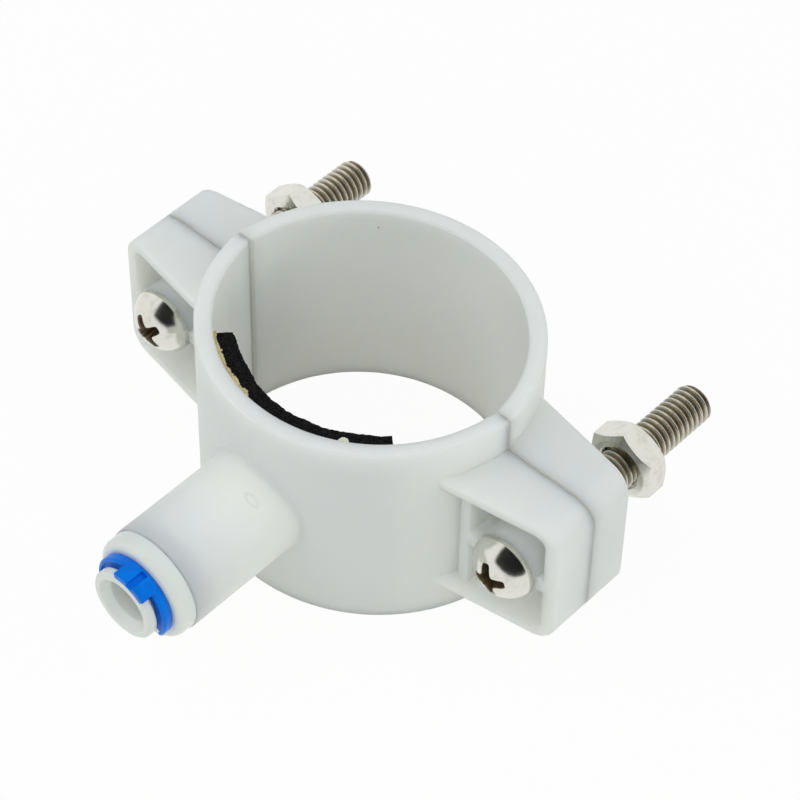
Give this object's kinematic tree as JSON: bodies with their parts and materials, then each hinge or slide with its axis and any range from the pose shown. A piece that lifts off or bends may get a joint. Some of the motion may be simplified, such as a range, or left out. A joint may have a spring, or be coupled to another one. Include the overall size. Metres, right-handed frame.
{
  "type": "tapping saddle",
  "caption": "Split plastic pipe clamp with bolted ears, a foam gasket and a push-fit branch port held by a locking clip.",
  "frame": {"origin": "on the clamped pipe's axis, at the saddle's lower rim", "axes": "+Z along the pipe's axis and up; the branch port leaves along -Y; the bolted ears lie along X"},
  "size_m": [0.08, 0.0792, 0.0333],
  "materials": {
    "shell_plastic": "satin white polypropylene",
    "cap_plastic": "satin white acetal",
    "collet_plastic": "satin white acetal",
    "clip_plastic": "glossy blue",
    "nickel": "bright nickel plate",
    "tooth_steel": "spring steel",
    "seal_rubber": "matt black",
    "foam": "black closed-cell foam",
    "backing_paper": "matt beige"
  },
  "bodies": {
    "front": {"port_half": "shell_plastic", "port_cap": "cap_plastic", "spacer_ring": "cap_plastic", "o_ring": "seal_rubber", "foam_gasket": "foam", "gasket_backing": "backing_paper"},
    "rear": {"rear_half": "shell_plastic"},
    "left_screw": {"screw_left": "nickel"},
    "right_screw": {"screw_right": "nickel"},
    "left_nut": {"nut_left": "nickel"},
    "right_nut": {"nut_right": "nickel"},
    "release_collet": {"collet": "collet_plastic", "collet_teeth": "tooth_steel"},
    "clip": {"locking_clip": "clip_plastic"}
  },
  "joints": [
    {"name": "rear_slide", "type": "slide", "parent": "front", "child": "rear", "axis": [0, 1, 0], "range_m": [0, 0.0069]},
    {"name": "left_screw_turn", "type": "hinge", "parent": "front", "child": "left_screw", "pos_m": [-0.032, 0, 0.01665], "axis": [0, -1, 0], "range_deg": [-3205, 3601]},
    {"name": "right_screw_turn", "type": "hinge", "parent": "front", "child": "right_screw", "pos_m": [0.032, 0, 0.01665], "axis": [0, -1, 0], "range_deg": [-2485, 4321]},
    {"name": "left_nut_travel", "type": "slide", "parent": "front", "child": "left_nut", "axis": [0, 1, 0], "range_m": [-0.0089, 0.01]},
    {"name": "right_nut_travel", "type": "slide", "parent": "front", "child": "right_nut", "axis": [0, 1, 0], "range_m": [-0.0069, 0.012]},
    {"name": "collet_slide", "type": "slide", "parent": "front", "child": "release_collet", "axis": [0, 1, 0], "range_m": [0, 0.0007]},
    {"name": "clip_slide", "type": "slide", "parent": "front", "child": "clip", "axis": [0.309, 0, 0.9511], "range_m": [0, 0.009]}
  ],
  "couplings": [
    {"joint": "left_screw_turn", "follows": "left_nut_travel", "rad_per_m": 6283.2},
    {"joint": "right_screw_turn", "follows": "right_nut_travel", "rad_per_m": 6283.2}
  ]
}
